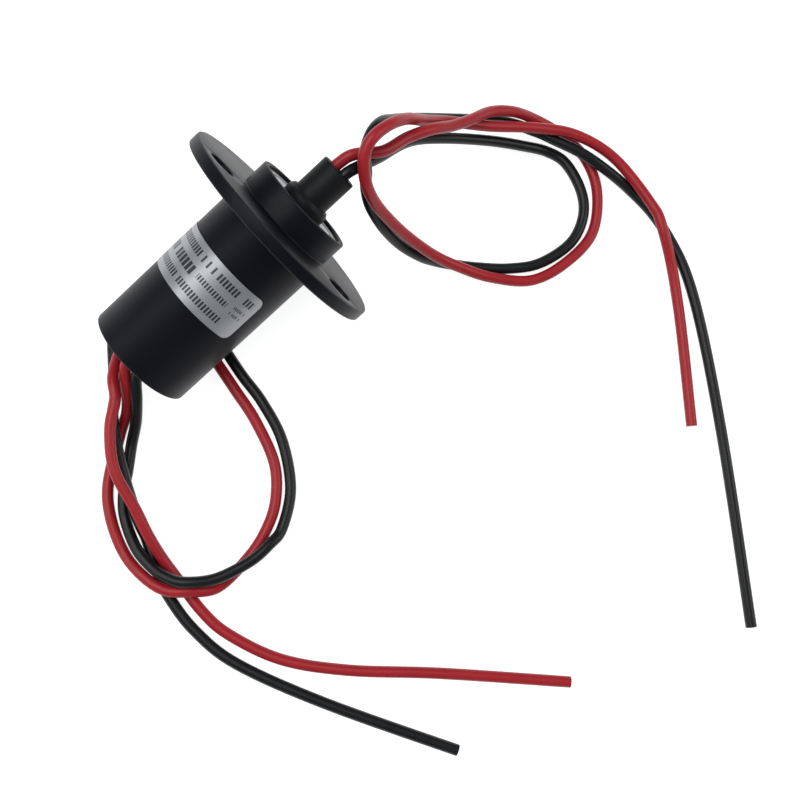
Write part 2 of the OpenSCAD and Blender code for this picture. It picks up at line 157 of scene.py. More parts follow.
def turned(name: str, profile: list[Ring], sides: int = 128) -> bpy.types.Object:
    """Turns a profile about Z, ring by ring.

    Args:
        name: Name of the new piece.
        profile: Radius and height of each ring in millimetres, in order round the
            wall. One that starts and ends on the axis makes a solid piece.
        sides: Faces round the piece.

    Returns:
        The new piece, with its normals outward.
    """
    deselect()
    radius, height = profile[0]
    bpy.ops.mesh.primitive_circle_add(
        vertices=sides, radius=radius * MM, location=(0, 0, height * MM))
    obj = bpy.context.object
    obj.name = name
    bpy.ops.object.transform_apply(location=True, rotation=True, scale=True)
    bpy.ops.object.mode_set(mode="EDIT")
    bpy.ops.mesh.select_all(action="SELECT")
    solid = profile[0][0] == ON_AXIS
    for next_radius, next_height in profile[1:] + ([] if solid else profile[:1]):
        bpy.ops.mesh.extrude_region_move(
            TRANSFORM_OT_translate={"value": (0, 0, (next_height - height) * MM)})
        grow = next_radius / radius
        if abs(grow - 1) > 1e-9:
            bpy.ops.transform.resize(value=(grow, grow, 1))
        radius, height = next_radius, next_height
    bpy.ops.mesh.select_all(action="SELECT")
    bpy.ops.mesh.remove_doubles(threshold=1e-7)
    bpy.ops.mesh.normals_make_consistent(inside=False)
    bpy.ops.object.mode_set(mode="OBJECT")
    return obj


def round_rings(obj: bpy.types.Object, rings: list[Ring], width: float,
                segments: int = 3) -> None:
    """Bevels the edges of a turned piece that lie on the given rings.

    Args:
        obj: The turned piece.
        rings: Radius and height of each ring in millimetres.
        width: Width of the bevel in millimetres.
        segments: Faces across the bevel.
    """
    pick(obj)
    bpy.ops.object.mode_set(mode="EDIT")
    bpy.ops.mesh.select_mode(type="EDGE")
    bpy.ops.mesh.select_all(action="DESELECT")
    mesh = bmesh.from_edit_mesh(obj.data)
    for edge in mesh.edges:
        edge.select_set(all(
            any(math.hypot(math.hypot(v.co.x, v.co.y) / MM - r, v.co.z / MM - z) < 0.004
                for r, z in rings)
            for v in edge.verts) and abs(edge.verts[0].co.z - edge.verts[1].co.z) < 1e-7)
    bmesh.update_edit_mesh(obj.data)
    bpy.ops.mesh.bevel(offset=width * MM, segments=segments, affect="EDGES")
    bpy.ops.object.mode_set(mode="OBJECT")


def cut(obj: bpy.types.Object, tool: bpy.types.Object) -> None:
    """Cuts a tool out of a piece and throws the tool away."""
    pick(obj)
    modifier = obj.modifiers.new("cut", "BOOLEAN")
    modifier.operation = "DIFFERENCE"
    modifier.solver = "EXACT"
    modifier.object = tool
    bpy.ops.object.modifier_apply(modifier=modifier.name)
    bpy.data.objects.remove(tool)


def turn_about_axis(obj: bpy.types.Object, degrees: float) -> None:
    """Turns a piece about the upright axis and keeps the turn in its mesh."""
    pick(obj)
    obj.matrix_world = Matrix.Rotation(math.radians(degrees), 4, "Z") @ obj.matrix_world
    bpy.ops.object.transform_apply(location=True, rotation=True, scale=True)


def lay_down(obj: bpy.types.Object, rest: Resting) -> None:
    """Lays an upright piece where the part lies, its place kept in its mesh."""
    pick(obj)
    obj.matrix_world = rest.matrix() @ obj.matrix_world
    bpy.ops.object.transform_apply(location=True, rotation=True, scale=True)


def smooth(obj: bpy.types.Object, degrees: float = 40) -> None:
    """Shades a piece smooth wherever its faces meet at less than an angle."""
    pick(obj)
    bpy.ops.object.shade_smooth_by_angle(angle=math.radians(degrees))


def dress(obj: bpy.types.Object, material: bpy.types.Material) -> None:
    """Gives a piece one material in place of any it has."""
    obj.data.materials.clear()
    obj.data.materials.append(material)


def stand_for(obj: bpy.types.Object, body: Body, slot: str, *nodes: str) -> None:
    """Rides a finished piece on its body in place of the solids it shows.

    Args:
        obj: The finished piece.
        body: The body it moves with.
        slot: Name of the record's material slot for the piece; not used.
        *nodes: The solids it stands for.
    """
    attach(obj, body.value)
    if nodes:
        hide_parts(*nodes)
    log.info("%s rides on %s", obj.name, body.value)


# ---- finishes ----


def new_group(name: str, inputs: dict[str, float],
              outputs: tuple[str, ...]) -> bpy.types.NodeTree:
    """Starts a shader node group with plain number sockets and a Vector input.

    Args:
        name: Name of the group.
        inputs: Default of each number input.
        outputs: Names of the number outputs.

    Returns:
        The group's node tree, with its input and output nodes named In and Out.
    """
    tree = bpy.data.node_groups.new(name, "ShaderNodeTree")
    tree.interface.new_socket("Vector", in_out="INPUT", socket_type="NodeSocketVector")
    for label, value in inputs.items():
        socket = tree.interface.new_socket(
            label, in_out="INPUT", socket_type="NodeSocketFloat")
        socket.default_value = value
    for label in outputs:
        tree.interface.new_socket(label, in_out="OUTPUT", socket_type="NodeSocketFloat")
    tree.nodes.new("NodeGroupInput").name = "In"
    tree.nodes.new("NodeGroupOutput").name = "Out"
    return tree


def math_node(tree: bpy.types.NodeTree, operation: str, first: object,
              second: object = None) -> bpy.types.NodeSocket:
    """Adds a Math node.

    Args:
        tree: The tree it goes into.
        operation: Name of the operation.
        first: A socket or a number.
        second: A socket or a number, where the operation takes two.

    Returns:
        The node's output socket.
    """
    node = tree.nodes.new("ShaderNodeMath")
    node.operation = operation
    for index, value in enumerate((first, second)):
        if isinstance(value, bpy.types.NodeSocket):
            tree.links.new(value, node.inputs[index])
        elif value is not None:
            node.inputs[index].default_value = value
    return node.outputs[0]


def spread(tree: bpy.types.NodeTree, value: bpy.types.NodeSocket,
           source: tuple[float, float], target: tuple[float, float]) -> bpy.types.NodeSocket:
    """Maps a value from one range to another and clamps it.

    Args:
        tree: The tree it goes into.
        value: The socket to map.
        source: Low and high of what comes in.
        target: Low and high of what goes out.

    Returns:
        The mapped socket.
    """
    node = tree.nodes.new("ShaderNodeMapRange")
    tree.links.new(value, node.inputs["Value"])
    node.inputs["From Min"].default_value, node.inputs["From Max"].default_value = source
    node.inputs["To Min"].default_value, node.inputs["To Max"].default_value = target
    return node.outputs["Result"]


def moulded_grain() -> bpy.types.NodeTree:
    """Fine grain, flow marks and handling of a moulded plastic surface.

    Returns:
        A group with outputs Shade, Rough and Height, each about 0 to 1.
    """
    tree = new_group("Moulded grain", {"Grain": 5200.0, "Flow": 60.0},
                     ("Shade", "Rough", "Height"))
    inner, outer = tree.nodes["In"], tree.nodes["Out"]
    fine = tree.nodes.new("ShaderNodeTexNoise")
    fine.inputs["Detail"].default_value = 3.0
    broad = tree.nodes.new("ShaderNodeTexNoise")
    broad.inputs["Detail"].default_value = 4.0
    broad.inputs["Roughness"].default_value = 0.6
    for node, scale in ((fine, "Grain"), (broad, "Flow")):
        tree.links.new(inner.outputs["Vector"], node.inputs["Vector"])
        tree.links.new(inner.outputs[scale], node.inputs["Scale"])
    tree.links.new(broad.outputs["Fac"], outer.inputs["Shade"])
    mixed = math_node(tree, "MULTIPLY", fine.outputs["Fac"], broad.outputs["Fac"])
    tree.links.new(math_node(tree, "MULTIPLY", mixed, 3.0), outer.inputs["Rough"])
    tree.links.new(fine.outputs["Fac"], outer.inputs["Height"])
    return tree


def lathe_marks() -> bpy.types.NodeTree:
    """Fine rings left by turning, about the axis of the vector it is given.

    Returns:
        A group with outputs Mark and Stain, each about 0 to 1.
    """
    tree = new_group("Lathe marks", {"Rings": 9000.0, "Stain": 220.0}, ("Mark", "Stain"))
    inner, outer = tree.nodes["In"], tree.nodes["Out"]
    parts = tree.nodes.new("ShaderNodeSeparateXYZ")
    tree.links.new(inner.outputs["Vector"], parts.inputs[0])
    square = math_node(tree, "ADD",
                       math_node(tree, "MULTIPLY", parts.outputs["X"], parts.outputs["X"]),
                       math_node(tree, "MULTIPLY", parts.outputs["Y"], parts.outputs["Y"]))
    radius = math_node(tree, "ADD", math_node(tree, "SQRT", square), parts.outputs["Z"])
    rings = tree.nodes.new("ShaderNodeTexNoise")
    rings.noise_dimensions = "1D"
    rings.inputs["Detail"].default_value = 5.0
    tree.links.new(radius, rings.inputs["W"])
    tree.links.new(inner.outputs["Rings"], rings.inputs["Scale"])
    tree.links.new(rings.outputs["Fac"], outer.inputs["Mark"])
    stain = tree.nodes.new("ShaderNodeTexNoise")
    stain.inputs["Detail"].default_value = 4.0
    tree.links.new(inner.outputs["Vector"], stain.inputs["Vector"])
    tree.links.new(inner.outputs["Stain"], stain.inputs["Scale"])
    tree.links.new(stain.outputs["Fac"], outer.inputs["Stain"])
    return tree


def painted_edge_highlight() -> bpy.types.NodeTree:
    """Painted highlight: a paler colour along one round edge, broken up by noise.

    Returns:
        A group whose output Mask is 1 on the edge and 0 away from it.
    """
    tree = new_group("Edge highlight", {"Radius": 0.01, "Height": 0.0, "Reach": 0.00035}, ("Mask",))
    inner, outer = tree.nodes["In"], tree.nodes["Out"]
    parts = tree.nodes.new("ShaderNodeSeparateXYZ")
    tree.links.new(inner.outputs["Vector"], parts.inputs[0])
    radius = math_node(tree, "SQRT", math_node(
        tree, "ADD", math_node(tree, "MULTIPLY", parts.outputs["X"], parts.outputs["X"]),
        math_node(tree, "MULTIPLY", parts.outputs["Y"], parts.outputs["Y"])))
    off = [math_node(tree, "SUBTRACT", radius, inner.outputs["Radius"]),
           math_node(tree, "SUBTRACT", parts.outputs["Z"], inner.outputs["Height"])]
    away = math_node(tree, "SQRT", math_node(
        tree, "ADD", *(math_node(tree, "MULTIPLY", side, side) for side in off)))
    near = math_node(tree, "SUBTRACT", 1.0, math_node(
        tree, "MINIMUM", math_node(tree, "DIVIDE", away, inner.outputs["Reach"]), 1.0))
    highlight_noise = tree.nodes.new("ShaderNodeTexNoise")
    highlight_noise.inputs["Scale"].default_value = 420.0
    highlight_noise.inputs["Detail"].default_value = 4.0
    tree.links.new(inner.outputs["Vector"], highlight_noise.inputs["Vector"])
    patchy = spread(tree, highlight_noise.outputs["Fac"], (0.35, 0.65), (0.35, 1.0))
    tree.links.new(math_node(tree, "MULTIPLY", near, patchy), outer.inputs["Mask"])
    return tree


class Palette:
    """The shared groups, and the start of every material."""

    def __init__(self, rest: Resting) -> None:
        """Builds the shared groups once for a part that lies at rest."""
        self.grain = moulded_grain()
        self.marks = lathe_marks()
        # The group that paints a highlight along round edges.
        self.wear = painted_edge_highlight()
        self.upright = rest.matrix().inverted()

    def start(self, name: str) -> tuple[bpy.types.Material, bpy.types.Node]:
        """Starts a material.

        Args:
            name: Name of the material.

        Returns:
            The material and its Principled BSDF.
        """
        material = bpy.data.materials.new(name)
        material.use_nodes = True
        return material, material.node_tree.nodes["Principled BSDF"]

    def about_axis(self, tree: bpy.types.NodeTree) -> bpy.types.NodeSocket:
        """Gives object coordinates turned upright, so a pattern follows the axis."""
        coords = tree.nodes.new("ShaderNodeTexCoord")
        mapping = tree.nodes.new("ShaderNodeMapping")
        mapping.inputs["Location"].default_value = self.upright.to_translation()
        mapping.inputs["Rotation"].default_value = self.upright.to_euler()
        tree.links.new(coords.outputs["Object"], mapping.inputs["Vector"])
        return mapping.outputs["Vector"]

    def place(self, tree: bpy.types.NodeTree, group: bpy.types.NodeTree,
              values: dict[str, float]) -> bpy.types.Node:
        """Places a shared group in a material.

        Args:
            tree: The material's tree.
            group: The shared group.
            values: Value of each number input.

        Returns:
            The group node, fed with coordinates about the axis.
        """
        node = tree.nodes.new("ShaderNodeGroup")
        node.node_tree = group
        tree.links.new(self.about_axis(tree), node.inputs["Vector"])
        for label, value in values.items():
            node.inputs[label].default_value = value
        return node


def shade_between(tree: bpy.types.NodeTree, mask: bpy.types.NodeSocket,
                  low: object, high: object) -> bpy.types.NodeSocket:
    """Blends two colours by a mask.

    Args:
        tree: The material's tree.
        mask: The mask, 0 for the first colour and 1 for the second.
        low: The first colour, or a socket that gives it.
        high: The second colour, or a socket that gives it.

    Returns:
        The blended colour socket.
    """
    mix = tree.nodes.new("ShaderNodeMix")
    mix.data_type = "RGBA"
    tree.links.new(mask, mix.inputs["Factor"])
    for socket, colour in zip([s for s in mix.inputs if s.type == "RGBA"], (low, high)):
        if isinstance(colour, bpy.types.NodeSocket):
            tree.links.new(colour, socket)
        else:
            socket.default_value = colour
    return next(s for s in mix.outputs if s.type == "RGBA")


def bumped(tree: bpy.types.NodeTree, height: bpy.types.NodeSocket, shader: bpy.types.Node,
           strength: float, distance: float) -> None:
    """Feeds a height into a shader's normal.

    Args:
        tree: The material's tree.
        height: The height socket.
        shader: The Principled BSDF.
        strength: Strength of the bump.
        distance: Depth of the bump in metres.
    """
    bump = tree.nodes.new("ShaderNodeBump")
    bump.inputs["Strength"].default_value = strength
    bump.inputs["Distance"].default_value = distance
    tree.links.new(height, bump.inputs["Height"])
    tree.links.new(bump.outputs["Normal"], shader.inputs["Normal"])


@dataclass(frozen=True)
class MouldedPlastic:
    """A moulded plastic surface.

    Attributes:
        name: Name of the material.
        low: Colour in the darker flow marks.
        high: Colour in the lighter flow marks.
        rough: Lowest and highest roughness.
        grain: Scale of the fine grain.
        depth: Depth of the grain in metres.
        specular: Specular level of the surface.
        highlit_edges: Round edges given a painted highlight, as radius and height in millimetres.
        edge_highlight_colour: Paler colour of the painted highlight on those edges.
    """

    name: str
    low: Colour
    high: Colour
    rough: tuple[float, float] = (0.32, 0.46)
    grain: float = 5200.0
    depth: float = 0.00001
    specular: float = 0.5
    highlit_edges: tuple[Ring, ...] = ()
    # Paler grey of the painted edge highlight.
    edge_highlight_colour: Colour = (0.045, 0.048, 0.055, 1.0)

    def material(self, palette: Palette) -> bpy.types.Material:
        """Builds the material from the shared groups."""
        material, shader = palette.start(self.name)
        tree = material.node_tree
        grain = palette.place(tree, palette.grain, {"Grain": self.grain})
        colour = shade_between(tree, grain.outputs["Shade"], self.low, self.high)
        # Paints a highlight: each listed round edge is blended towards a paler colour.
        for radius, height in self.highlit_edges:
            wear = palette.place(tree, palette.wear, {
                "Radius": radius * MM, "Height": height * MM})
            colour = shade_between(tree, wear.outputs["Mask"], colour, self.edge_highlight_colour)
        tree.links.new(colour, shader.inputs["Base Color"])
        rough = spread(tree, grain.outputs["Rough"], (0.2, 1.2), self.rough)
        tree.links.new(rough, shader.inputs["Roughness"])
        shader.inputs["Specular IOR Level"].default_value = self.specular
        bumped(tree, grain.outputs["Height"], shader, 0.35, self.depth)
        return material


@dataclass(frozen=True)
class TurnedMetal:
    """A turned or ground metal surface with fine rings about the axis.

    Attributes:
        name: Name of the material.
        low: Colour in the marks.
        high: Colour between the marks.
        rough: Lowest and highest roughness.
        rings: Scale of the rings.
        metallic: How metallic the surface is.
    """

    name: str
    low: Colour
    high: Colour
    rough: tuple[float, float] = (0.22, 0.4)
    rings: float = 9000.0
    metallic: float = 1.0

    def material(self, palette: Palette) -> bpy.types.Material:
        """Builds the material from the shared groups."""
        material, shader = palette.start(self.name)
        tree = material.node_tree
        marks = palette.place(tree, palette.marks, {"Rings": self.rings})
        colour = shade_between(tree, marks.outputs["Mark"], self.low, self.high)
        tree.links.new(colour, shader.inputs["Base Color"])
        rough = spread(tree, marks.outputs["Stain"], (0.25, 0.75), self.rough)
        tree.links.new(rough, shader.inputs["Roughness"])
        shader.inputs["Metallic"].default_value = self.metallic
        bumped(tree, marks.outputs["Mark"], shader, 0.25, 0.00001)
        return material


@dataclass(frozen=True)
class LeadInsulation:
    """Glossy flexible insulation of a lead.

    Attributes:
        name: Name of the material.
        colour: Colour of the insulation.
    """

    name: str
    colour: Insulation

    def material(self, palette: Palette) -> bpy.types.Material:
        """Builds the material, with faint scuffs and a soft waviness."""
        material, shader = palette.start(self.name)
        tree = material.node_tree
        grain = palette.place(tree, palette.grain, {"Grain": 1800.0, "Flow": 160.0})
        base = self.colour.value
        paler = tuple(min(1.0, channel * 1.3 + 0.0015) for channel in base[:3]) + (1.0,)
        colour = shade_between(tree, grain.outputs["Shade"], base, paler)
        tree.links.new(colour, shader.inputs["Base Color"])
        rough = spread(tree, grain.outputs["Rough"], (0.2, 1.2), (0.26, 0.42))
        tree.links.new(rough, shader.inputs["Roughness"])
        shader.inputs["Specular IOR Level"].default_value = 0.3
        bumped(tree, grain.outputs["Shade"], shader, 0.2, 0.00012)
        return material


# ---- still side ----


@dataclass
class FlangedHousing:
    """The body, flange and bearing collar, in one moulding.

    Attributes:
        body_d: Outside diameter of the body in millimetres, as every size here.
        body_l: Length of the body behind the flange.
        bore_d: Bore of the body.
        cap_seat_d: Bore of the rear seat.
        cap_t: Depth of the rear seat.
        flange_d: Diameter of the flange.
        flange_t: Thickness of the flange.
        collar_d: Outside diameter of the collar.
        front_z: Height of the collar's rim.
        bearing_d: Bore of the bearing seat.
        bearing_z: Height of the bearing seat's shoulder.
        hole_d: Diameter of the screw holes.
        hole_pcd: Diameter of the circle the screw holes stand on.
        hole_turns: Turn of each screw hole, in degrees.
        edge: Radius of the outside edges.
    """

    body_d: float = 22.0
    body_l: float = 36.0
    bore_d: float = 18.0
    cap_seat_d: float = 20.0
    cap_t: float = 2.6
    flange_d: float = 45.0
    flange_t: float = 2.5
    collar_d: float = 21.2
    front_z: float = 7.7
    bearing_d: float = 19.0
    bearing_z: float = 1.0
    hole_d: float = 5.4
    hole_pcd: float = 35.0
    hole_turns: tuple[float, ...] = (135.0, 255.0, 15.0)
    edge: float = 0.35

    def profile(self) -> list[Ring]:
        """Returns the rings of the wall, from the rear end forward and back inside."""
        return [
            (self.body_d / 2, -self.body_l),
            (self.body_d / 2, 0),
            (self.flange_d / 2, 0),
            (self.flange_d / 2, self.flange_t),
            (self.collar_d / 2, self.flange_t),
            (self.collar_d / 2, self.front_z),
            (self.bearing_d / 2, self.front_z),
            (self.bearing_d / 2, self.bearing_z),
            (self.bore_d / 2, self.bearing_z),
            (self.bore_d / 2, -self.body_l + self.cap_t),
            (self.cap_seat_d / 2, -self.body_l + self.cap_t),
            (self.cap_seat_d / 2, -self.body_l),
        ]

    def hole_cutter(self, turn: float) -> bpy.types.Object:
        """Makes the tool for one screw hole, flared where it leaves each face.

        Args:
            turn: Turn of the hole about the axis, in degrees.

        Returns:
            The tool, in place.
        """
        radius, flare = self.hole_d / 2, 0.3
        deselect()
        bpy.ops.mesh.primitive_cylinder_add(
            vertices=64, radius=radius * MM, depth=(self.flange_t + 2) * MM,
            location=(self.hole_pcd / 2 * MM, 0, self.flange_t / 2 * MM))
        tool = bpy.context.object
        bpy.ops.object.transform_apply(location=True, rotation=True, scale=True)
        bpy.ops.object.mode_set(mode="EDIT")
        centre = (self.hole_pcd / 2 * MM, 0, 0)
        for height, lean in ((0, -1), (self.flange_t, 1)):
            for step in (0.0, 0.5, 1.0):
                level = height - lean * flare * (1 - step)
                bpy.ops.mesh.select_all(action="SELECT")
                bpy.ops.mesh.bisect(plane_co=(0, 0, level * MM), plane_no=(0, 0, 1))
            self._flare(tool, centre, height, lean, flare)
        bpy.ops.object.mode_set(mode="OBJECT")
        turn_about_axis(tool, turn)
        return tool

    def _flare(self, tool: bpy.types.Object, centre: tuple[float, float, float],
               height: float, lean: int, flare: float) -> None:
        """Widens the tool's rings near one face of the flange.

        Args:
            tool: The tool, in edit mode.
            centre: Centre of the hole.
            height: Height of the face.
            lean: 1 where the tool widens upward, -1 downward.
            flare: How far the edge of the hole is rounded.
        """
        mesh = bmesh.from_edit_mesh(tool.data)
        for vert in mesh.verts:
            out = (vert.co.z / MM - height) * lean / flare + 1
            if out <= 0.01:
                continue
            grow = 1 + (1 - math.sqrt(max(0.0, 1 - min(out, 1.0) ** 2))) * flare * 2 / self.hole_d
            vert.co.x = centre[0] + (vert.co.x - centre[0]) * grow
            vert.co.y *= grow
        bmesh.update_edit_mesh(tool.data)

    def build(self, rest: Resting, material: bpy.types.Material) -> bpy.types.Object:
        """Models and dresses the housing.

        Args:
            rest: Where the part lies.
            material: The housing's finish.

        Returns:
            The finished piece.
        """
        obj = turned("housing", self.profile(), sides=160)
        outer = [self.profile()[i] for i in (0, 2, 3, 5, 6, 11)]
        round_rings(obj, outer, self.edge)
        round_rings(obj, [(self.collar_d / 2, self.flange_t), (self.body_d / 2, 0)],
                    0.3, segments=4)
        for turn in self.hole_turns:
            cut(obj, self.hole_cutter(turn))
        smooth(obj)
        lay_down(obj, rest)
        dress(obj, material)
        stand_for(obj, Body.STATOR, "housing", "stator_housing")
        return obj


@dataclass
class RearClosure:
    """The cap that holds the rear bearing, and the seal its leads leave through.

    Attributes:
        cap_d: Diameter of the cap in millimetres, as every size here.
        seal_d: Diameter of the seal.
        rear_z: Height of the rear face.
        cap_t: Thickness of the cap.
        sleeve_d: Outside diameter of the sleeve inside the body.
        bearing_d: Bore of the bearing seat.
        bearing_w: Width of the rear bearing.
        outlet_d: Bore behind the bearing.
        front_z: Height of the sleeve's front end.
        lead_y: Each lead from the axis.
        lead_d: Diameter of a lead.
        wire_slot: Width of the slot each thin wire follows.
        joint_z: Height where the thin wires turn inward.
    """

    cap_d: float = 20.0
    seal_d: float = 8.0
    rear_z: float = -36.0
    cap_t: float = 2.6
    sleeve_d: float = 18.0
    bearing_d: float = 16.0
    bearing_w: float = 5.0
    outlet_d: float = 13.0
    front_z: float = -25.0
    lead_y: float = 1.3
    lead_d: float = 2.3
    wire_slot: float = 1.1
    joint_z: float = -32.0

    def _wire_way(self, side: int) -> bpy.types.Object:
        """Makes the tool for one thin wire's slot.

        Args:
            side: 1 or -1, the side of the axis.

        Returns:
            The tool, in place.
        """
        low = self.joint_z - self.wire_slot / 2
        middle = (self.bearing_d + self.sleeve_d) / 4
        deselect()
        bpy.ops.mesh.primitive_cube_add(
            size=1, location=(0, side * middle * MM, (low + self.front_z) / 2 * MM))
        tool = bpy.context.object
        tool.scale = (self.wire_slot * MM, 2 * MM, (self.front_z - low + 1) * MM)
        bpy.ops.object.transform_apply(location=True, rotation=True, scale=True)
        return tool

    def build_cap(self, rest: Resting, material: bpy.types.Material) -> None:
        """Models the cap, with a shallow ring pressed into its face.

        Args:
            rest: Where the part lies.
            material: Finish of the cap.
        """
        inner, outer = self.seal_d / 2, self.cap_d / 2
        face, back = self.rear_z, self.rear_z + self.cap_t
        seat_z = self.front_z - self.bearing_w
        profile = [
            (inner, face), (inner + 1.1, face), (inner + 1.3, face + 0.35),
            (outer - 1.5, face + 0.35), (outer - 1.3, face), (outer, face),
            (outer, back), (self.sleeve_d / 2, back), (self.sleeve_d / 2, self.front_z),
            (self.bearing_d / 2, self.front_z), (self.bearing_d / 2, seat_z),
            (self.outlet_d / 2, seat_z), (self.outlet_d / 2, back), (inner, back)]
        cap = turned("rear_closing_cap", profile)
        round_rings(cap, [profile[0], profile[5]], 0.15)
        for side in (-1, 1):
            cut(cap, self._wire_way(side))
        smooth(cap)
        lay_down(cap, rest)
        dress(cap, material)
        stand_for(cap, Body.STATOR, "cap", "rear_cap")

    def build_seal(self, rest: Resting, material: bpy.types.Material) -> None:
        """Models the seal as a lipped plug with a hole for each lead.

        Args:
            rest: Where the part lies.
            material: Finish of the seal.
        """
        lip, radius = 0.6, self.seal_d / 2
        back = self.rear_z + self.cap_t
        seal = turned("lead_seal_plug", [
            (ON_AXIS, self.rear_z), (radius, self.rear_z), (radius, back),
            (radius + lip, back), (radius + lip, back + lip), (ON_AXIS, back + lip)], sides=96)
        for side in (-1, 1):
            deselect()
            bpy.ops.mesh.primitive_cylinder_add(
                vertices=48, radius=(self.lead_d / 2 + 0.03) * MM, depth=3 * self.cap_t * MM,
                location=(0, side * self.lead_y * MM, back * MM))
            cut(seal, bpy.context.object)
        bevel = seal.modifiers.new("soft edge", "BEVEL")
        bevel.width, bevel.segments = 0.12 * MM, 2
        bevel.limit_method, bevel.angle_limit = "ANGLE", math.radians(60)
        pick(seal)
        bpy.ops.object.modifier_apply(modifier=bevel.name)
        smooth(seal)
        lay_down(seal, rest)
        dress(seal, material)
        stand_for(seal, Body.STATOR, "seal", "lead_seal")


@dataclass
class RatingLabel:
    """The silver label wrapped part of the way round the body.

    Attributes:
        radius: Radius of the face of the label in millimetres, as every size here.
        front_z: Height of its front edge.
        width: Its width along the axis.
        start: Turn where it starts, in degrees.
        end: Turn where it ends, in degrees.
        corner: Radius of its corners.
    """

    radius: float = 11.0
    front_z: float = -9.5
    width: float = 10.3
    start: float = 5.0
    end: float = 151.0
    corner: float = 1.5
    thick: float = 0.1

    def build(self, rest: Resting, material: bpy.types.Material) -> None:
        """Models the label flat, rounds its corners and wraps it on the body."""
        length = math.radians(self.end - self.start) * self.radius
        deselect()
        bpy.ops.mesh.primitive_plane_add(size=1, location=(0, 0, 0))
        label = bpy.context.object
        label.name = "label_wrap"
        label.scale = (length * MM, self.width * MM, 1)
        bpy.ops.object.transform_apply(location=True, rotation=True, scale=True)
        bpy.ops.object.mode_set(mode="EDIT")
        bpy.ops.mesh.select_all(action="SELECT")
        bpy.ops.mesh.bevel(offset=self.corner * MM, segments=6, affect="VERTICES")
        steps = 96
        for index in range(1, steps):
            bpy.ops.mesh.select_all(action="SELECT")
            across = (index / steps - 0.5) * length * MM
            bpy.ops.mesh.bisect(plane_co=(across, 0, 0), plane_no=(1, 0, 0))
        bpy.ops.object.mode_set(mode="OBJECT")
        self._wrap(label, length)
        solid = label.modifiers.new("thickness", "SOLIDIFY")
        solid.thickness, solid.offset = self.thick * MM, -1
        pick(label)
        bpy.ops.object.modifier_apply(modifier=solid.name)
        smooth(label)
        lay_down(label, rest)
        dress(label, material)
        stand_for(label, Body.STATOR, "label", "rating_label")

    def _wrap(self, label: bpy.types.Object, length: float) -> None:
        """Gives the flat label its own map, then bends it round the body.

        Args:
            label: The flat label.
            length: Its length round the body.
        """
        mesh = bmesh.new()
        mesh.from_mesh(label.data)
        layer = mesh.loops.layers.uv.verify()
        for face in mesh.faces:
            for loop in face.loops:
                co = loop.vert.co
                loop[layer].uv = (co.x / MM / length + 0.5, co.y / MM / self.width + 0.5)
        for vert in mesh.verts:
            turn = math.radians(self.start + 90) + (vert.co.x / MM / length + 0.5) \
                * math.radians(self.end - self.start)
            height = self.front_z - self.width / 2 + vert.co.y / MM
            reach = self.radius + self.thick
            vert.co = (reach * MM * math.cos(turn), reach * MM * math.sin(turn), height * MM)
        mesh.to_mesh(label.data)
        mesh.free()


@dataclass(frozen=True)
class InkRow:
    """A row of short upright bars on the label, in shares of its length and width.

    Attributes:
        middle: Where the row's middle lies across the label.
        half: Half the height of its bars.
        start: Where it starts along the label.
        end: Where it ends.
        bars: Bars along the whole length of the label.
        share: Ink's share of each bar's pitch.
        gaps: Share of the bars left out.
    """

    middle: float
    half: float
    start: float
    end: float
    bars: float
    share: float = 0.62
    gaps: float = 0.12


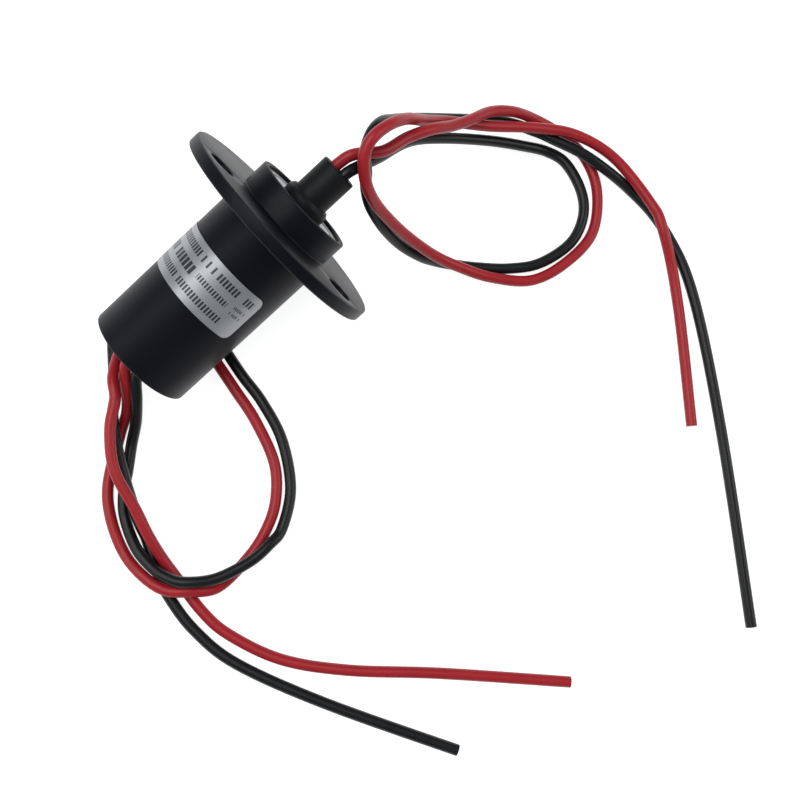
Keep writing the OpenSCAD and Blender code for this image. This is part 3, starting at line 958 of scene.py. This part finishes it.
@dataclass(frozen=True)
class LabelFoil:
    """Silver foil with rows of plain printed bars in place of wording.

    Attributes:
        name: Name of the material.
        rows: The rows of bars.
    """

    name: str = "silver label foil"
    rows: tuple[InkRow, ...] = (
        InkRow(0.80, 0.075, 0.06, 0.95, 38.0),
        InkRow(0.50, 0.095, 0.06, 0.50, 26.0, 0.72, 0.06),
        InkRow(0.52, 0.055, 0.53, 0.80, 44.0, 0.55),
        InkRow(0.58, 0.030, 0.84, 0.95, 80.0, 0.6, 0.2),
        InkRow(0.45, 0.030, 0.84, 0.95, 80.0, 0.6, 0.2),
        InkRow(0.21, 0.070, 0.10, 0.84, 40.0, 0.58),
    )

    def material(self, palette: Palette) -> bpy.types.Material:
        """Builds the foil with a soft gradient and rows of dark bars."""
        material, shader = palette.start(self.name)
        tree = material.node_tree
        uv = tree.nodes.new("ShaderNodeUVMap")
        parts = tree.nodes.new("ShaderNodeSeparateXYZ")
        tree.links.new(uv.outputs["UV"], parts.inputs[0])
        along, across = parts.outputs["X"], parts.outputs["Y"]
        brush = tree.nodes.new("ShaderNodeTexNoise")
        brush.inputs["Scale"].default_value = 3.0
        brush.inputs["Detail"].default_value = 8.0
        stretch = tree.nodes.new("ShaderNodeMapping")
        stretch.inputs["Scale"].default_value = (1.0, 60.0, 1.0)
        tree.links.new(uv.outputs["UV"], stretch.inputs["Vector"])
        tree.links.new(stretch.outputs["Vector"], brush.inputs["Vector"])
        foil = shade_between(tree, brush.outputs["Fac"],
                             (0.29, 0.30, 0.31, 1.0), (0.42, 0.43, 0.44, 1.0))
        ink = self._bars(tree, along, across)
        tree.links.new(shade_between(tree, ink, foil, (0.02, 0.022, 0.026, 1.0)),
                       shader.inputs["Base Color"])
        metal = math_node(tree, "SUBTRACT", 1.0, ink)
        tree.links.new(math_node(tree, "MULTIPLY", metal, 0.55), shader.inputs["Metallic"])
        tree.links.new(spread(tree, brush.outputs["Fac"], (0.3, 0.7), (0.3, 0.42)),
                       shader.inputs["Roughness"])
        return material

    def _bars(self, tree: bpy.types.NodeTree, along: bpy.types.NodeSocket,
              across: bpy.types.NodeSocket) -> bpy.types.NodeSocket:
        """Draws the printed bars.

        Args:
            tree: The material's tree.
            along: Place round the body, 0 to 1.
            across: Place along the axis, 0 to 1.

        Returns:
            The ink mask.
        """
        total = None
        for row in self.rows:
            level = math_node(tree, "LESS_THAN", math_node(
                tree, "ABSOLUTE", math_node(tree, "SUBTRACT", across, row.middle)), row.half)
            inside = math_node(tree, "LESS_THAN", math_node(
                tree, "ABSOLUTE", math_node(
                    tree, "SUBTRACT", along, (row.start + row.end) / 2)),
                (row.end - row.start) / 2)
            cells = math_node(tree, "MULTIPLY", along, row.bars)
            ink = math_node(tree, "LESS_THAN", math_node(tree, "FRACT", cells), row.share)
            noise = tree.nodes.new("ShaderNodeTexWhiteNoise")
            noise.noise_dimensions = "1D"
            seed = math_node(tree, "ADD", math_node(tree, "FLOOR", cells), row.middle * 100)
            tree.links.new(seed, noise.inputs["W"])
            kept = math_node(tree, "GREATER_THAN", noise.outputs["Value"], row.gaps)
            block = math_node(tree, "MULTIPLY", math_node(tree, "MULTIPLY", level, inside),
                              math_node(tree, "MULTIPLY", ink, kept))
            total = block if total is None else math_node(tree, "MAXIMUM", total, block)
        return total


@dataclass
class FrontBearing:
    """The races and the front shield of the front ball bearing.

    Attributes:
        outer_d: Outside diameter in millimetres, as every size here.
        bore_d: Bore.
        width: Width.
        rear_z: Height of its rear face.
        ball_d: Diameter of its balls.
        pitch_d: Diameter of the circle its balls run on.
        land: Each race's land from the pitch circle.
        groove_play: Ball to groove.
        inset: Shield below the face.
        shield_t: Thickness of a shield.
    """

    outer_d: float = 19.0
    bore_d: float = 8.0
    width: float = 6.0
    rear_z: float = 1.0
    ball_d: float = 3.0
    pitch_d: float = 13.6
    land: float = 0.9
    groove_play: float = 0.05
    inset: float = 0.2
    shield_t: float = 0.3

    def groove(self, side: int) -> list[Ring]:
        """Returns the rings of a race's ball groove, from the front rearward.

        Args:
            side: 1 for the outer race, -1 for the inner race.

        Returns:
            Radius and height of each ring.
        """
        radius = self.ball_d / 2 + self.groove_play
        middle = self.rear_z + self.width / 2
        open_turn = math.acos(self.land / radius)
        turns = [open_turn * (1 - step / 6) for step in range(13)]
        return [(self.pitch_d / 2 + side * radius * math.cos(t), middle + radius * math.sin(t))
                for t in turns]

    def build_races(self, rest: Resting, steel: bpy.types.Material) -> None:
        """Models both races with their ball grooves and broken edges.

        Args:
            rest: Where the part lies.
            steel: Finish of the races.
        """
        front, rear = self.rear_z + self.width, self.rear_z
        outer, bore = self.outer_d / 2, self.bore_d / 2
        outer_land = self.pitch_d / 2 + self.land
        inner_land = self.pitch_d / 2 - self.land
        seat, step = outer_land + self.inset, self.inset + self.shield_t
        race = turned("front_bearing_outer_ring", [
            (outer, rear), (outer, front), (seat, front), (seat, front - step),
            (outer_land, front - step), *self.groove(1), (outer_land, rear + step),
            (seat, rear + step), (seat, rear)])
        round_rings(race, [(outer, rear), (outer, front)], 0.3)
        round_rings(race, [(seat, front), (seat, rear)], 0.06, segments=2)
        hub = turned("front_bearing_inner_ring", [
            (bore, rear), (bore, front), (inner_land, front), *self.groove(-1),
            (inner_land, rear)])
        round_rings(hub, [(inner_land, front), (bore, front)], 0.12)
        for obj, body, node in ((race, Body.STATOR, "front_outer_race"),
                                (hub, Body.ROTOR, "front_inner_race")):
            smooth(obj)
            lay_down(obj, rest)
            dress(obj, steel)
            stand_for(obj, body, "race", node)

    def build_shield(self, rest: Resting, bright: bpy.types.Material) -> None:
        """Models the pressed shield, with its rolled rim and raised middle.

        Args:
            rest: Where the part lies.
            bright: Finish of the shield.
        """
        face = self.rear_z + self.width - self.inset
        seat = self.pitch_d / 2 + self.land + self.inset
        lip = self.pitch_d / 2 - self.land + 0.12
        shield = turned("front_bearing_shield", [
            (seat, face - 0.1), (seat - 0.15, face + 0.02), (seat - 0.4, face + 0.02),
            (seat - 0.55, face - 0.1), (lip + 0.35, face - 0.1), (lip + 0.2, face - 0.02),
            (lip, face - 0.02), (lip, face - self.shield_t), (seat, face - self.shield_t)])
        round_rings(shield, [(lip, face - 0.02)], 0.05, segments=2)
        smooth(shield)
        lay_down(shield, rest)
        dress(shield, bright)
        stand_for(shield, Body.STATOR, "shield", "front_shield")


# ---- turning side ----


@dataclass
class HollowShaft:
    """The hollow shaft and the bush that keeps it against the bearing.

    Attributes:
        stub_d: Diameter in front of the bush in millimetres, as every size here.
        seat_d: Diameter through the bearings.
        bore_d: Bore.
        rear_z: Height of its rear end.
        front_z: Height of its front end.
        bore_end_z: Height where the bore ends.
        bush_d: Diameter of the bush.
        bush_z: Height of the bush's low and high end.
        clip_d: Diameter of the circlip's groove.
        clip_z: Height of the groove's low and high side.
        wire_d: Diameter of the holes for the thin wires.
        wire_z: Height of each hole, for the side it leaves by.
        mouth: Radius of the edges of the mouth.
    """

    stub_d: float = 7.5
    seat_d: float = 8.0
    bore_d: float = 5.2
    rear_z: float = -30.4
    front_z: float = 16.5
    bore_end_z: float = -15.7
    bush_d: float = 9.6
    bush_z: tuple[float, float] = (7.0, 9.2)
    clip_d: float = 6.4
    clip_z: tuple[float, float] = (-18.4, -17.8)
    wire_d: float = 1.3
    wire_z: tuple[tuple[int, float], ...] = ((1, -7.1), (-1, -13.7))
    mouth: float = 0.3

    @classmethod
    def measured(cls, rest: Resting) -> "HollowShaft":
        """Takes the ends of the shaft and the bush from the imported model.

        Args:
            rest: Where the part lies.

        Returns:
            The shaft with its measured ends.
        """
        _, rear, front = rest.span("rotor_shaft")
        bush_r, low, high = rest.span("retaining_bush")
        return cls(rear_z=rear, front_z=front, bush_d=2 * bush_r, bush_z=(low, high))

    def build_shaft(self, rest: Resting, plastic: bpy.types.Material) -> None:
        """Models the whole shaft, with a rounded mouth.

        Args:
            rest: Where the part lies.
            plastic: Finish of the shaft.
        """
        stub, seat, bore, clip = (d / 2 for d in (
            self.stub_d, self.seat_d, self.bore_d, self.clip_d))
        clip_low, clip_high = self.clip_z
        bush_top = self.bush_z[1]
        shaft = turned("hollow_shaft", [
            (ON_AXIS, self.rear_z), (seat, self.rear_z), (seat, clip_low), (clip, clip_low),
            (clip, clip_high), (seat, clip_high), (seat, bush_top), (stub, bush_top),
            (stub, self.front_z), (bore, self.front_z), (bore, self.bore_end_z),
            (ON_AXIS, self.bore_end_z)])
        round_rings(shaft, [(stub, self.front_z), (bore, self.front_z)], self.mouth)
        for side, height in self.wire_z:
            deselect()
            bpy.ops.mesh.primitive_cylinder_add(
                vertices=32, radius=self.wire_d / 2 * MM, depth=self.seat_d * MM,
                location=(0, side * self.seat_d / 2 * MM, height * MM),
                rotation=(math.radians(90), 0, 0))
            cut(shaft, bpy.context.object)
        smooth(shaft)
        lay_down(shaft, rest)
        dress(shaft, plastic)
        stand_for(shaft, Body.ROTOR, "shaft", "rotor_shaft")

    def build_bush(self, rest: Resting, plastic: bpy.types.Material) -> None:
        """Models the bush with a sloping front and soft edges.

        Args:
            rest: Where the part lies.
            plastic: Finish of the bush.
        """
        low, high = self.bush_z
        rim, seat = self.bush_d / 2, self.seat_d / 2
        slope, nose = 0.8, 0.25
        bush = turned("shaft_bush", [
            (rim, low), (rim, high - slope), (seat + nose, high), (seat, high), (seat, low)])
        round_rings(bush, [(rim, high - slope), (rim, low)], 0.22)
        smooth(bush)
        lay_down(bush, rest)
        dress(bush, plastic)
        stand_for(bush, Body.ROTOR, "bush", "retaining_bush")


# ---- leads ----


@dataclass
class Lead:
    """One free lead, laid along its route.

    Attributes:
        name: Name of the piece.
        colour: Colour of its insulation.
        body: The body it leaves.
        node: The solid it stands for.
        route: Points of its route in metres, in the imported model's frame.
        diameter: Outside diameter in millimetres.
        steps: Points of the line for each point of the route.
        line: The smooth line through the route.
    """

    name: str
    colour: Insulation
    body: Body
    node: str
    route: list[Point]
    diameter: float = 2.3
    steps: int = 8
    line: list[Vector] = field(default_factory=list)

    def lay(self) -> None:
        """Works out the smooth line through the route, no lower than the table."""
        points = [Vector(p) for p in self.route]
        last = len(points) - 1
        floor = self.diameter / 2 * MM
        for i in range(last):
            a, b = points[max(i - 1, 0)], points[i]
            c, d = points[i + 1], points[min(i + 2, last)]
            for k in range(self.steps):
                u = k / self.steps
                p = (2 * b + (c - a) * u + (2 * a - 5 * b + 4 * c - d) * u * u
                     + (3 * b - 3 * c + d - a) * u ** 3) / 2
                self.line.append(Vector((p.x, p.y, max(p.z, floor))))
        self.line.append(points[last].copy())

    def length(self) -> float:
        """Returns the length of the lead in metres."""
        return sum((b - a).length for a, b in zip(self.line, self.line[1:]))

    def build(self, material: bpy.types.Material) -> bpy.types.Object:
        """Args:
            material: Finish of the insulation.

        Returns:
            The finished lead.
        """
        self.lay()
        curve = bpy.data.curves.new(self.name, "CURVE")
        curve.dimensions = "3D"
        curve.bevel_depth = self.diameter / 2 * MM
        curve.bevel_resolution = 6
        curve.use_fill_caps = True
        spline = curve.splines.new("POLY")
        spline.points.add(len(self.line) - 1)
        for point, place in zip(spline.points, self.line):
            point.co = (*place, 1.0)
        spline.use_smooth = True
        obj = bpy.data.objects.new(self.name, curve)
        bpy.context.collection.objects.link(obj)
        dress(obj, material)
        slot = "lead_red" if self.colour is Insulation.RED else "lead_black"
        stand_for(obj, self.body, slot, self.node)
        log.info("%s is %.0f mm long", self.name, self.length() / MM)
        return obj


# ---- stage ----


@dataclass(frozen=True)
class Studio:
    """Camera, floor, lamps and background.

    Attributes:
        eye: Place of the camera.
        aim: Point of the table it looks at.
        up: Direction that is upward in the picture.
        lens: Focal length in millimetres on a 36 mm frame.
    """

    eye: tuple[float, float, float] = (-0.02309, -0.04343, 0.22229)
    aim: tuple[float, float, float] = (0.01035, -0.0390, 0.0)
    up: tuple[float, float, float] = (0.64716, 0.75403, 0.11236)
    lens: float = 48.85

    def camera(self) -> None:
        """Sets the camera at its place, turned so that up is upward."""
        deselect()
        bpy.ops.object.camera_add(location=self.eye)
        camera = bpy.context.object
        camera.data.lens = self.lens
        camera.data.sensor_width = 36
        camera.data.clip_start = 0.01
        back = (Vector(self.eye) - Vector(self.aim)).normalized()
        right = Vector(self.up).cross(back).normalized()
        turn = Matrix((right, back.cross(right), back)).transposed()
        camera.matrix_world = Matrix.Translation(self.eye) @ turn.to_4x4()
        bpy.context.scene.camera = camera

    def floor(self) -> None:
        """Lays a plain pale floor that stays white and keeps the part's shadow."""
        deselect()
        bpy.ops.mesh.primitive_plane_add(size=6, location=(0, 0, -0.00005))
        floor = bpy.context.object
        floor.name = "floor"
        material = bpy.data.materials.new("pale floor")
        material.use_nodes = True
        tree = material.node_tree
        shader = tree.nodes["Principled BSDF"]
        shader.inputs["Base Color"].default_value = (0.5, 0.5, 0.5, 1)
        shader.inputs["Roughness"].default_value = 0.9
        shader.inputs["Specular IOR Level"].default_value = 0.0
        glow = tree.nodes.new("ShaderNodeEmission")
        glow.inputs["Strength"].default_value = 0.86
        seen = tree.nodes.new("ShaderNodeLightPath")
        direct = math_node(tree, "MAXIMUM", seen.outputs["Is Camera Ray"],
                           seen.outputs["Is Glossy Ray"])
        dark = tree.nodes.new("ShaderNodeEmission")
        dark.inputs["Strength"].default_value = 0.0
        choose = tree.nodes.new("ShaderNodeMixShader")
        tree.links.new(direct, choose.inputs[0])
        tree.links.new(dark.outputs[0], choose.inputs[1])
        tree.links.new(glow.outputs[0], choose.inputs[2])
        total = tree.nodes.new("ShaderNodeAddShader")
        tree.links.new(shader.outputs[0], total.inputs[0])
        tree.links.new(choose.outputs[0], total.inputs[1])
        out = tree.nodes["Material Output"]
        tree.links.new(total.outputs[0], out.inputs["Surface"])
        dress(floor, material)

    def world(self) -> None:
        """Sets a white background, dimmer where it lights the part."""
        world = bpy.data.worlds.new("studio")
        world.use_nodes = True
        bpy.context.scene.world = world
        tree = world.node_tree
        light = tree.nodes["Background"]
        light.inputs["Color"].default_value = (0.88, 0.94, 1.0, 1)
        light.inputs["Strength"].default_value = 0.35
        white = tree.nodes.new("ShaderNodeBackground")
        white.inputs["Color"].default_value = (1, 1, 1, 1)
        white.inputs["Strength"].default_value = 1.0
        seen = tree.nodes.new("ShaderNodeLightPath")
        choose = tree.nodes.new("ShaderNodeMixShader")
        tree.links.new(seen.outputs["Is Camera Ray"], choose.inputs[0])
        tree.links.new(light.outputs[0], choose.inputs[1])
        tree.links.new(white.outputs[0], choose.inputs[2])
        tree.links.new(choose.outputs[0], tree.nodes["World Output"].inputs["Surface"])

    def lamp(self, name: str, place: tuple[float, float, float], size: tuple[float, float],
             power: float) -> None:
        """Hangs a soft rectangular lamp that faces the middle of the part.

        Args:
            name: Name of the lamp.
            place: Where it hangs.
            size: Its width and height.
            power: Its power in watts.
        """
        deselect()
        bpy.ops.object.light_add(type="AREA", location=place)
        lamp = bpy.context.object
        lamp.name = name
        lamp.data.shape = "RECTANGLE"
        lamp.data.size, lamp.data.size_y = size
        lamp.data.energy = power
        lamp.rotation_euler = (-Vector(place)).to_track_quat("-Z", "Y").to_euler()

    def set_up(self) -> None:
        """Sets up everything round the part."""
        scene = bpy.context.scene
        scene.view_settings.view_transform = "Standard"
        self.camera()
        self.floor()
        self.world()
        self.lamp("overhead", (-0.1, 0.25, 0.75), (0.6, 0.6), 3.4)
        self.lamp("side", (-0.55, 0.35, 0.35), (0.3, 0.6), 1.0)
        self.lamp("front", (0.5, -0.4, 0.4), (0.4, 0.4), 1.2)


# Free part of each lead's route, point by point, in metres.
ROTOR_RED = [
    (0.03, 0.0005, 0.0274), (0.035, -0.0022, 0.0262), (0.041, -0.0028, 0.0244),
    (0.046, -0.0042, 0.023), (0.051, -0.0056, 0.0194), (0.056, -0.0064, 0.0162),
    (0.0615, -0.007, 0.0125), (0.0665, -0.0095, 0.0093), (0.071, -0.013, 0.0045),
    (0.0745, -0.019, 0.0015), (0.075, -0.026, 0.0012), (0.072, -0.033, 0.0012),
    (0.065, -0.039, 0.0012), (0.056, -0.04, 0.0012), (0.048, -0.038, 0.0012),
    (0.0415, -0.032, 0.0024), (0.037, -0.026, 0.005), (0.034, -0.0215, 0.008),
    (0.0315, -0.017, 0.0125), (0.0295, -0.013, 0.0175), (0.028, -0.009, 0.023),
    (0.0276, -0.006, 0.028), (0.0286, -0.0035, 0.0312), (0.0306, -0.0015, 0.033),
    (0.0336, -0.0006, 0.0336), (0.0378, -0.0004, 0.0318), (0.0422, -0.0006, 0.0275),
    (0.047, -0.0016, 0.0206), (0.0525, -0.0036, 0.015), (0.06, -0.009, 0.011),
    (0.068, -0.0145, 0.008), (0.075, -0.021, 0.0055), (0.079, -0.03, 0.0035),
    (0.0785, -0.042, 0.0035), (0.0765, -0.048, 0.004), (0.07, -0.061, 0.0012),
    (0.0535, -0.0835, 0.0012)]

ROTOR_BLACK = [
    (0.0303, -0.0016, 0.0256), (0.0346, -0.0019, 0.0228), (0.043, -0.002, 0.017),
    (0.0505, -0.005, 0.012), (0.0595, -0.0105, 0.0065), (0.0655, -0.0155, 0.0035),
    (0.0695, -0.0195, 0.0015), (0.071, -0.024, 0.0012), (0.0695, -0.0305, 0.0012),
    (0.066, -0.035, 0.0012), (0.06, -0.0375, 0.0012), (0.052, -0.0365, 0.0012),
    (0.046, -0.033, 0.0012), (0.041, -0.0285, 0.0012), (0.0375, -0.025, 0.0018),
    (0.0345, -0.022, 0.0035), (0.032, -0.0195, 0.0065), (0.0295, -0.0155, 0.0105),
    (0.028, -0.0115, 0.0155), (0.0277, -0.0075, 0.0202), (0.0285, -0.0049, 0.0241),
    (0.0296, -0.0034, 0.0274), (0.031, -0.0012, 0.0297), (0.0342, 0.0008, 0.0306),
    (0.0376, 0.0017, 0.0286), (0.041, 0.0016, 0.0244), (0.046, 0.001, 0.018),
    (0.0535, -0.0018, 0.0112), (0.064, -0.009, 0.007), (0.069, -0.0145, 0.0045),
    (0.071, -0.0185, 0.0045), (0.0745, -0.0265, 0.0042), (0.078, -0.038, 0.0012),
    (0.0775, -0.05, 0.0012), (0.0725, -0.064, 0.0012), (0.057, -0.0895, 0.0012),
    (0.0345, -0.1225, 0.0012)]

STATOR_RED = [
    (-0.0273, 0.0008, 0.0087), (-0.0298, -0.0019, 0.0063), (-0.033, -0.0052, 0.0032),
    (-0.037, -0.0075, 0.0013), (-0.045, -0.0135, 0.0012), (-0.049, -0.019, 0.0012),
    (-0.0515, -0.026, 0.0012), (-0.0515, -0.032, 0.0028), (-0.05, -0.037, 0.0038),
    (-0.0465, -0.0405, 0.0038), (-0.042, -0.0435, 0.0018), (-0.034, -0.043, 0.0012),
    (-0.028, -0.0413, 0.0012), (-0.0225, -0.038, 0.0012), (-0.0177, -0.032, 0.0012),
    (-0.015, -0.023, 0.0012), (-0.014, -0.0155, 0.0012), (-0.013, -0.0075, 0.0012),
    (-0.012, -0.0005, 0.0012), (-0.0135, 0.005, 0.0012), (-0.0175, 0.008, 0.0012),
    (-0.022, 0.008, 0.0013), (-0.0265, 0.0047, 0.0042), (-0.0306, 0.001, 0.0072),
    (-0.033, -0.0027, 0.0078), (-0.0375, -0.0065, 0.0074), (-0.042, -0.013, 0.0065),
    (-0.044, -0.0215, 0.0055), (-0.0455, -0.027, 0.0045), (-0.0465, -0.032, 0.0025),
    (-0.047, -0.037, 0.0012), (-0.0475, -0.045, 0.0012), (-0.0465, -0.052, 0.0012),
    (-0.042, -0.0625, 0.0012), (-0.0335, -0.073, 0.0012), (-0.02, -0.086, 0.0012),
    (-0.0015, -0.105, 0.0012)]

STATOR_BLACK = [
    (-0.0273, -0.0023, 0.0085), (-0.03, -0.0052, 0.0063), (-0.033, -0.008, 0.0035),
    (-0.0365, -0.0105, 0.0015), (-0.0405, -0.014, 0.0012), (-0.044, -0.017, 0.0012),
    (-0.047, -0.021, 0.0012), (-0.049, -0.027, 0.0024), (-0.049, -0.032, 0.0037),
    (-0.048, -0.0355, 0.0048), (-0.046, -0.0385, 0.0055), (-0.041, -0.042, 0.0048),
    (-0.034, -0.0438, 0.0038), (-0.029, -0.0438, 0.003), (-0.025, -0.043, 0.0018),
    (-0.0185, -0.038, 0.0012), (-0.0135, -0.0295, 0.0012), (-0.0115, -0.021, 0.0012),
    (-0.011, -0.014, 0.0012), (-0.01, -0.006, 0.0012), (-0.0095, 0, 0.0012),
    (-0.011, 0.0065, 0.0012), (-0.015, 0.0105, 0.0012), (-0.02, 0.0115, 0.0012),
    (-0.025, 0.009, 0.0012), (-0.029, 0.004, 0.0022), (-0.0325, -0.001, 0.0032),
    (-0.0363, -0.005, 0.0038), (-0.041, -0.0135, 0.004), (-0.045, -0.0225, 0.0025),
    (-0.0465, -0.027, 0.0012), (-0.049, -0.033, 0.0012), (-0.0505, -0.0385, 0.0012),
    (-0.051, -0.047, 0.0012), (-0.049, -0.0575, 0.0012), (-0.041, -0.075, 0.0012),
    (-0.0275, -0.0995, 0.0012)]


# Each lead's node, colour and body, its side of the axis, where it runs straight
# inside the part, in millimetres along the axis, and its free route.
LEADS = (
    ("rotor_lead_red", Insulation.RED, Body.ROTOR, 1.2, (10.5, 14.2, 17.5), ROTOR_RED),
    ("rotor_lead_black", Insulation.BLACK, Body.ROTOR, -1.2, (10.5, 14.2, 17.3), ROTOR_BLACK),
    ("stator_lead_red", Insulation.RED, Body.STATOR, 1.3, (-31.2, -34, -36.6), STATOR_RED),
    ("stator_lead_black", Insulation.BLACK, Body.STATOR, -1.3, (-31.2, -34, -36.6),
     STATOR_BLACK),
)


def dress_solids(palette: Palette, plain: dict[str, bpy.types.Material]) -> None:
    """Gives each carried-over solid its finish.

    Args:
        palette: The shared groups.
        plain: Finishes made for the modelled pieces, by name.
    """
    board = MouldedPlastic("green board", (0.015, 0.075, 0.03, 1), (0.025, 0.1, 0.045, 1))
    ivory = MouldedPlastic("ivory insulator", (0.62, 0.56, 0.43, 1), (0.72, 0.67, 0.54, 1))
    gold = TurnedMetal("gold contact", (0.72, 0.47, 0.13, 1), (0.85, 0.6, 0.22, 1), (0.12, 0.28))
    brass = TurnedMetal("cage brass", (0.55, 0.36, 0.1, 1), (0.66, 0.45, 0.15, 1))
    chrome = TurnedMetal("ball steel", (0.7, 0.7, 0.71, 1), (0.78, 0.78, 0.79, 1), (0.06, 0.12))
    spring = TurnedMetal("spring steel", (0.1, 0.1, 0.11, 1), (0.16, 0.16, 0.17, 1))
    made = {
        "board": board.material(palette), "insulator": ivory.material(palette),
        "contact": gold.material(palette), "brush": gold.material(palette),
        "cage": brass.material(palette), "ball": chrome.material(palette),
        "clip": spring.material(palette)} | plain
    for entry in frame["record"]["subparts"]:
        node = frame["nodes"][entry["node"]]
        if entry["material_slot"] in made:
            dress(node, made[entry["material_slot"]])


def main() -> None:
    """Builds the part and its studio."""
    logging.basicConfig(level=logging.INFO, format="%(message)s")
    studio = Studio()
    studio.set_up()
    housing = FlangedHousing()
    rest = Resting.from_record(housing.flange_t)
    palette = Palette(rest)

    # The housing gets a painted highlight, a paler grey along its rims and flange edges.
    shell = MouldedPlastic(
        "black housing plastic", (0.0032, 0.0037, 0.0064, 1), (0.0052, 0.0058, 0.0092, 1),
        (0.34, 0.46), specular=0.12, highlit_edges=(
            (housing.collar_d / 2, housing.front_z), (housing.bearing_d / 2, housing.front_z),
            (housing.flange_d / 2, housing.flange_t), (housing.flange_d / 2, 0),
            (housing.body_d / 2, -housing.body_l))).material(palette)
    dark = MouldedPlastic(
        "black shaft plastic", (0.0055, 0.0058, 0.0066, 1), (0.0085, 0.0088, 0.0098, 1),
        (0.4, 0.55), specular=0.16).material(palette)
    rubber = MouldedPlastic(
        "black seal rubber", (0.006, 0.006, 0.0066, 1), (0.010, 0.010, 0.0105, 1),
        (0.6, 0.78), specular=0.15).material(palette)
    steel = TurnedMetal(
        "ground bearing steel", (0.24, 0.245, 0.25, 1), (0.36, 0.365, 0.37, 1),
        (0.3, 0.45)).material(palette)
    bright = TurnedMetal(
        "pressed bright steel", (0.34, 0.345, 0.355, 1), (0.47, 0.475, 0.485, 1),
        (0.3, 0.45)).material(palette)
    red = LeadInsulation("red insulation", Insulation.RED).material(palette)
    black = LeadInsulation("black insulation", Insulation.BLACK).material(palette)

    for node, colour, body, side, outs, free in LEADS:
        finish = red if colour is Insulation.RED else black
        route = [rest.placed(side, out) for out in outs] + free
        Lead(node + "_run", colour, body, node, route).build(finish)

    housing.build(rest, shell)
    closure = RearClosure()
    closure.build_cap(rest, dark)
    closure.build_seal(rest, rubber)
    RatingLabel().build(rest, LabelFoil().material(palette))
    bearing = FrontBearing()
    bearing.build_races(rest, steel)
    bearing.build_shield(rest, bright)
    shaft = HollowShaft.measured(rest)
    shaft.build_shaft(rest, dark)
    shaft.build_bush(rest, dark)

    dress_solids(palette, {
        "housing": shell, "cap": dark, "seal": rubber, "shaft": dark, "bush": dark,
        "race": steel, "shim": steel, "shield": bright, "wire_red": red,
        "wire_black": black, "lead_red": red, "lead_black": black})


if __name__ == "__main__":
    main()
